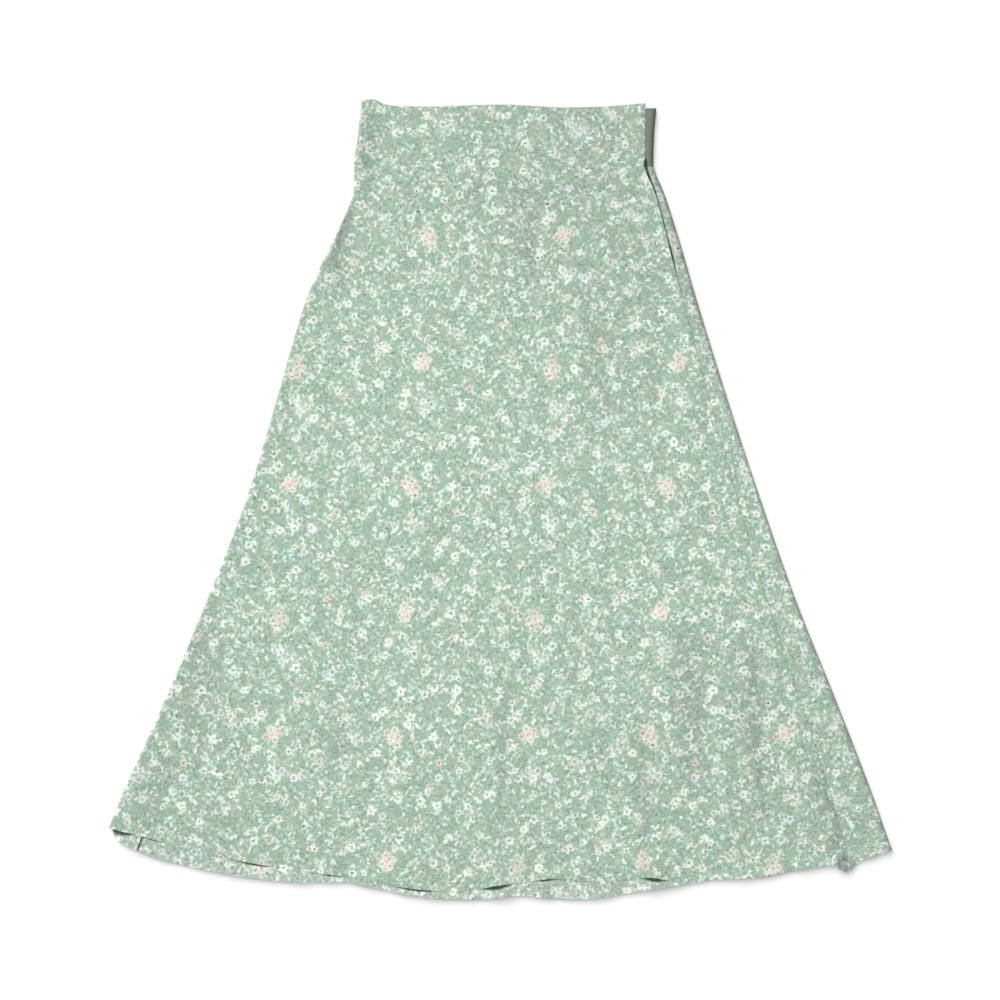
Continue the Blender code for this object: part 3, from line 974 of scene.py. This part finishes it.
def flowers(n, colour, s, t, grid, seed, radius, share, warm, crowd):
    """Scatters single flowers over a colour, nearly white, a few of them pink or cream."""
    dx, dy, c3, (d1, d2, d3) = motifs(n, s, t, grid, seed, 1.05 * radius, 0.42, 41.5)
    cover, away = petals(n, dx, dy, n.fma(d2, 0.30 * radius, 0.76 * radius), d1)
    present = n.math("LESS_THAN", c3, n.mul(n.fma(crowd, 1.5, 0.35), share))
    middle = n.step(away, 0.46 * radius, 0.16 * radius)
    strength = n.mul(present, n.fma(d2, 0.34, 0.56))
    cover = n.mul(n.mul(cover, strength), n.fma(middle, -0.72, 1.0))
    rare = n.math("LESS_THAN", d3, 0.06)
    tone = n.mix(d3, MINT_WHITE, PALE_LILAC)
    tone = n.mix(n.math("MAXIMUM", n.mul(warm, 0.7), rare), tone, n.mix(d1, PINK, CREAM))
    colour = n.mix(cover, colour, tone)
    dot = n.mul(n.step(n.sub(away, n.mul(d3, 0.0004)), 0.0012, 0.0002), present)
    dark = n.fma(n.math("LESS_THAN", d1, 0.22), 0.45, n.fma(d2, 0.45, 0.16))
    return n.mix(n.mul(dot, dark), colour, n.mix(rare, EYE, RED_EYE))


def dashes(n, colour, s, t, grid, seed, length, width, share, strength, tones):
    """Lays small bent leaf strokes over a colour, each as bright as its chance."""
    dx, dy, c3, (d1, d2, d3) = motifs(n, s, t, grid, seed, 0.80 * length, 0.34, 17.5)
    along, aside = n.turned(dx, dy, c3)
    aside = n.add(aside, n.mul(n.mul(along, along), n.fma(d1, 200.0, -100.0)))
    p = n.math("DIVIDE", along, n.fma(d2, 0.9 * length, 0.40 * length))
    q = n.math("DIVIDE", aside, n.fma(d1, 0.5 * width, 0.75 * width))
    mark = n.step(n.add(n.mul(p, p), n.mul(q, q)), 2.1, 0.0)
    bright = n.mul(n.step(d3, share, n.sub(share, 0.35)), strength)
    mark = n.mul(mark, n.mul(bright, n.fma(d2, 0.7, 0.4)))
    return n.mix(mark, colour, n.mix(d1, *tones))


# Colours of the cloth in daylight
GROUND = rgb(151, 174, 157)
GROUND_DEEP = rgb(126, 146, 132)
GROUND_PALE = rgb(174, 194, 178)
GROUND_GREEN = rgb(153, 180, 148)
GROUND_SEA = rgb(147, 176, 162)
GROUND_GREY = rgb(164, 174, 169)
WARM = rgb(226, 204, 176)
COOL = rgb(128, 186, 160)
LINE_DARK = rgb(104, 122, 110)
MINT_WHITE = rgb(237, 249, 238)
PALE_MINT = rgb(204, 228, 211)
PALE_LILAC = rgb(224, 226, 225)
YELLOW_WHITE = rgb(236, 243, 220)
PALE_YELLOW = rgb(208, 225, 196)
BLUE_WHITE = rgb(222, 246, 238)
PALE_BLUE = rgb(194, 222, 214)
ROSE_WHITE = rgb(242, 240, 235)
PALE_ROSE = rgb(212, 216, 208)
BLUSH = rgb(186, 190, 174)
PINK = rgb(228, 213, 205)
CREAM = rgb(229, 231, 217)
EYE = rgb(70, 82, 74)
RED_EYE = rgb(132, 112, 100)
# not a colour of the cloth: the painted shade mixes it in, as far as the mesh's Shade says
DARK = rgb(42, 58, 48)
ELASTIC_DEEP = rgb(108, 113, 110)
ELASTIC_GREY = rgb(127, 132, 128)
# painted shade in the grooves between the elastic's ribs
ELASTIC_GROOVE_SHADE = rgb(86, 90, 88)

# Leaf strokes and single flowers. Grid and seed say how many there are in a repeat, and which.
BROAD_STROKES = dict(grid=(33, 20), seed=41, length=0.0034, width=0.00210, share=0.95, strength=0.44)
SHORT_STROKES = dict(grid=(16, 43), seed=11, length=0.0022, width=0.00125, strength=0.64)
MIDDLE_STROKES = dict(grid=(24, 31), seed=23, length=0.0024, width=0.00140, strength=0.83)
LONG_STROKES = dict(grid=(29, 10), seed=31, length=0.0028, width=0.00150, strength=0.94)
DARK_STROKES = dict(grid=(30, 41), seed=7, length=0.0017, width=0.00062, share=1.0, strength=0.80)
FLOWERS = (
    dict(grid=(5, 12), seed=13, radius=0.0040, share=0.40),
    dict(grid=(8, 3), seed=5, radius=0.0052, share=0.70),
    dict(grid=(4, 7), seed=9, radius=0.0057, share=0.72),
)

# Bunches of flowers: their middles beside a posy's, and each flower's place and size
FIVE = (
    (-0.0054, 0.0030, 1.0), (0.0030, 0.0058, 0.90), (0.0068, -0.0022, 1.0), (-0.0012, -0.0060, 0.85),
    (0.0006, 0.0002, 0.95),
)
THREE = ((-0.0044, 0.0040, 1.0), (0.0048, 0.0010, 0.95), (-0.0012, -0.0060, 0.90))
LOOSE = ((-0.0040, -0.0018, 1.0), (0.0044, 0.0020, 0.90), (0.0005, -0.0085, 0.7))
ONE = ((0.0, 0.0, 1.0),)
POSY = dict(middle=(0.0, 0.0), places=FIVE, radius=0.0052, tones=(PINK, CREAM), eye=RED_EYE)
PALE_POSY = dict(
    middle=(0.0090, -0.0430), places=THREE, radius=0.0052, tones=(PALE_LILAC, MINT_WHITE, PALE_LILAC), eye=EYE
)
FAINT_POSY = dict(
    middle=(-0.0470, 0.0160), places=LOOSE, radius=0.0048, tones=(CREAM, PALE_LILAC, PINK), eye=RED_EYE
)
SINGLE = dict(middle=(0.0540, -0.0300), places=ONE, radius=0.0050, tones=(PINK,), eye=EYE)


def start_material(name):
    """A new material, its nodes' short names, the cloth's own coordinates and the shader."""
    made = bpy.data.materials.new(name)
    made.use_nodes = True
    tree = made.node_tree
    uv = tree.nodes.new("ShaderNodeUVMap")
    uv.uv_map = "Cloth"
    return made, Nodes(tree), uv.outputs[0], tree.nodes["Principled BSDF"]


def finish_material(n, shader, colour, height, relief, roughness, specular, sheen):
    """Gives the shader its colour and fine relief, and sets how it takes the light."""
    n.join(colour, shader.inputs["Base Color"])
    set_inputs(shader, Roughness=roughness, Specular_IOR_Level=specular)
    set_inputs(shader, Sheen_Weight=sheen, Sheen_Roughness=0.5)
    bump = n.tree.nodes.new("ShaderNodeBump")
    set_inputs(bump, Strength=relief, Distance=1.0)
    n.join(height, bump.inputs["Height"])
    n.join(bump.outputs[0], shader.inputs["Normal"])


def cloth_material(name, dull=0.0, shift=0.0):
    """The printed cloth. Dull greys it, and shift moves its print up."""
    made, n, place, shader = start_material(name)
    x, y, _ = n.split(place)
    wx, wy, _ = n.split(n.noise(place, *WANDER_NOISE, output="Color"))
    xw, yw = n.fma(wx, WANDER, n.sub(x, WANDER / 2)), n.fma(wy, WANDER, n.sub(y, WANDER / 2))
    # places in repeats of the print, and beside its posies
    start = REPEAT_AT[0] - REPEAT_LEAN * REPEAT_AT[1]
    s = n.mul(n.sub(n.fma(yw, -REPEAT_LEAN, xw), start), 1 / REPEAT[0])
    t = n.mul(n.sub(yw, REPEAT_AT[1] + shift), 1 / REPEAT[1])
    dx, dy, (c1, c2, c3) = from_posy(n, s, t)
    beside_x, beside_y = PALE_POSY["middle"]
    main, pale = n.away(dx, dy), n.away(n.sub(dx, beside_x), n.sub(dy, beside_y))
    mottle, drift, patch = n.noise(place, *MOTTLE), n.noise(place, *DRIFT), n.field(x, y, *PATCH)
    crowd = n.step(n.field(x, y, *CROWD), 0.37, 0.62)
    # the ground, with its soft spots
    colour = n.mix(n.step(mottle, 0.32, 0.50), GROUND_DEEP, GROUND)
    colour = n.tint(colour, mottle, 0.54, 0.74, 0.7, GROUND_PALE)
    green = n.math("MAXIMUM", n.step(drift, 0.54, 0.68), n.mul(n.step(main, 0.030, 0.010), 0.7))
    colour = n.mix(n.mul(green, 0.52), colour, GROUND_GREEN)
    colour = n.tint(colour, drift, 0.45, 0.33, 0.58, GROUND_SEA)
    # the grey tint grows towards the waist
    colour = n.tint(colour, n.fma(y, 0.12, patch), 0.50, 0.64, 0.22, GROUND_GREY)
    wobble = n.mul(n.sub(mottle, 0.5), 0.016)
    colour = n.tint(colour, n.add(main, wobble), 0.0115, 0.0070, 0.55, BLUSH)
    colour = n.tint(colour, n.add(pale, wobble), 0.0130, 0.0050, 0.22, PALE_LILAC)
    # the whites, which drift in hue
    yellow = n.mul(n.step(patch, 0.50, 0.66), 0.72)
    blue = n.mul(n.step(patch, 0.46, 0.34), 0.72)
    rosy = n.mul(n.step(n.field(x, y, *ROSY), 0.51, 0.62), 0.85)
    light = n.mix(blue, n.mix(yellow, MINT_WHITE, YELLOW_WHITE), BLUE_WHITE)
    soft = n.mix(blue, n.mix(yellow, PALE_MINT, PALE_YELLOW), PALE_BLUE)
    light, soft = n.mix(rosy, light, ROSE_WHITE), n.mix(rosy, soft, PALE_ROSE)
    # strokes, flowers and posies
    fill = n.fma(crowd, 0.88, 0.20)
    colour = dashes(n, colour, s, t, **BROAD_STROKES, tones=(soft, GROUND_PALE))
    colour = dashes(n, colour, s, t, **SHORT_STROKES, share=fill, tones=(soft, PALE_LILAC))
    colour = dashes(n, colour, s, t, **MIDDLE_STROKES, share=fill, tones=(light, soft))
    colour = dashes(n, colour, s, t, **LONG_STROKES, share=fill, tones=(light, soft))
    warm = n.step(main, 0.022, 0.012)
    for kind in FLOWERS:
        colour = flowers(n, colour, s, t, **kind, warm=warm, crowd=crowd)
    uneven = n.step(mottle, 0.30, 0.52)
    faint = n.mul(n.fma(uneven, 0.60, 0.35), n.fma(c1, 0.7, 0.25))
    strong = n.mul(n.fma(c2, 0.45, 0.58), n.fma(uneven, 0.60, 0.38))
    colour = bunch(n, colour, dx, dy, c2, faint, **FAINT_POSY)
    colour = bunch(n, colour, dx, dy, c3, n.fma(c2, 0.5, 0.40), **SINGLE)
    colour = bunch(n, colour, dx, dy, c1, n.fma(uneven, 0.40, 0.18), **PALE_POSY)
    colour = bunch(n, colour, dx, dy, c3, strong, **POSY)
    colour = dashes(n, colour, s, t, **DARK_STROKES, tones=(LINE_DARK, GROUND_DEEP))
    # wide drifts towards a warmer and a cooler green, and the dark where no light gets
    colour = n.tint(colour, patch, 0.48, 0.70, 0.045, WARM)
    colour = n.tint(colour, patch, 0.50, 0.30, 0.11, COOL)
    # painted shade: greyer and darker as far as the mesh's Shade says; dull greys the colour too
    shade = n.shade()
    colour = n.mix(n.math("MINIMUM", n.fma(shade, 0.9, dull), 0.8), colour, n.grey(colour))
    colour = n.mix(shade, colour, DARK)
    # plain weave, with a soft slub and small crumples
    weave = n.mul(n.wave(x, WARP), n.wave(y, WEFT))
    slub, crumple = n.noise(place, *SLUB), n.noise(place, *CRUMPLE)
    height = n.fma(weave, 0.00001, n.fma(slub, 0.00003, n.mul(crumple, 0.0007)))
    finish_material(n, shader, colour, height, relief=0.8, roughness=0.82, specular=0.25, sheen=0.12)
    return made


def elastic_material(name):
    made, n, place, shader = start_material(name)
    x, y, _ = n.split(place)
    rib, thread = n.wave(y, RIB), n.wave(x, THREAD)
    tone = n.noise(place, *ELASTIC_TONE)
    colour = n.mix(tone, ELASTIC_DEEP, ELASTIC_GREY)
    # painted shade in the grooves between the ribs
    colour = n.tint(colour, rib, -0.2, -0.9, 0.12, ELASTIC_GROOVE_SHADE)
    # painted shade, as far as the mesh's Shade says
    colour = n.mix(n.shade(), colour, DARK)
    height = n.fma(rib, 0.00012, n.fma(thread, 0.00003, n.mul(tone, 0.00005)))
    finish_material(n, shader, colour, height, relief=0.7, roughness=0.75, specular=0.3, sheen=0.1)
    return made


def build_skirt():
    face = cloth_material("Printed cloth")
    reverse = cloth_material("Printed cloth, wrong side", dull=0.22)
    band_face = cloth_material("Printed cloth, waistband", shift=0.030)
    grey = elastic_material("Plain elastic")
    front_of = dict(across_of=front_across, shape_of=front_shape, main_turn=0)
    back_of = dict(across_of=back_across, shape_of=back_shape, main_turn=1)
    front = piece("front_panel_cloth", front_stations(180, 14, 10), close_to_hem(150, 16), **front_of)
    back = piece("back_panel_cloth", back_stations(200, 14, 10), close_to_hem(105, 34), **back_of)
    front_of["edge"], back_of["edge"] = WAIST_EDGE["front"], WAIST_EDGE["back"]
    front_band = piece("front_waistband_cloth", front_stations(180, 8, 10), spread(26), **front_of)
    back_band = piece("back_waistband_cloth", back_stations(120, 10, 10), spread(26), **back_of)
    for made, node, slot, sides, walls in (
        (front, "front_panel", "printed_cloth", (face, reverse), (CLOTH, HEM_CLOTH)),
        (back, "back_panel", "printed_cloth", (face, reverse), (CLOTH, HEM_CLOTH)),
        (front_band, "front_waistband", "printed_cloth", (band_face, reverse), (BAND_CLOTH,)),
        (back_band, "back_waistband", "elastic", (grey, grey), (ELASTIC,)),
    ):
        for side in sides:
            made.data.materials.append(side)
        wall(made, *walls)
        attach(made, "root")
        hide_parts(node)
    return front, back, front_band, back_band


# The white surface, the lights and the camera
FLOOR_SIZE = 40
FLOOR_DROP = 0.0002
KEY_FROM = (-0.74, 1.30, 0.94)
KEY_SPREAD = math.radians(48)
KEY_POWER = 2.74
FILL_AT = (-0.16, 0.02, 1.25)
FILL_SIZE = 0.6
FILL_POWER = 5.4
SKY_POWER = 0.48
WHITE = (1, 1, 1, 1)
PAPER = (0.81, 0.81, 0.81, 1)
PAPER_GLOW = 0.125
SENSOR, FOCAL = 36, 85
VIEW_MIDDLE = (-0.0008, 0.0003)
VIEW_WIDTH = 1.103


def build_stage():
    """A white surface, soft light from above the waist's left, and a camera straight above."""
    bpy.ops.mesh.primitive_plane_add(size=FLOOR_SIZE, location=(0, 0, -FLOOR_DROP))
    floor = bpy.context.object
    floor.name = "White surface"
    paper = bpy.data.materials.new("White surface")
    paper.use_nodes = True
    shader = paper.node_tree.nodes["Principled BSDF"]
    set_inputs(shader, Base_Color=PAPER, Roughness=0.9, Specular_IOR_Level=0.0)
    set_inputs(shader, Emission_Color=WHITE, Emission_Strength=PAPER_GLOW)
    floor.data.materials.append(paper)

    sun = bpy.data.lights.new("Key", "SUN")
    sun.energy = KEY_POWER
    sun.angle = KEY_SPREAD
    add_object("Key", sun).rotation_euler = Vector(KEY_FROM).to_track_quat("Z", "Y").to_euler()

    disk = bpy.data.lights.new("Fill", "AREA")
    disk.shape = "DISK"
    disk.size = FILL_SIZE
    disk.energy = FILL_POWER
    fill = add_object("Fill", disk)
    fill.location = x, y, z = FILL_AT
    fill.rotation_euler = (math.atan2(math.hypot(x, y), z), 0, math.atan2(-x, y) + math.pi)

    world = bpy.data.worlds.new("Soft sky")
    bpy.context.scene.world = world
    world.use_nodes = True
    set_inputs(world.node_tree.nodes["Background"], Color=WHITE, Strength=SKY_POWER)

    lens = bpy.data.cameras.new("Camera")
    lens.sensor_width = SENSOR
    lens.lens = FOCAL
    camera = add_object("Camera", lens)
    camera.location = (*VIEW_MIDDLE, VIEW_WIDTH * FOCAL / SENSOR)
    scene = bpy.context.scene
    scene.camera = camera
    view = scene.view_settings
    view.view_transform = "Standard"
    view.look = "None"
    view.exposure = 0
    view.gamma = 1


front, back, front_band, back_band = build_skirt()
build_stage()
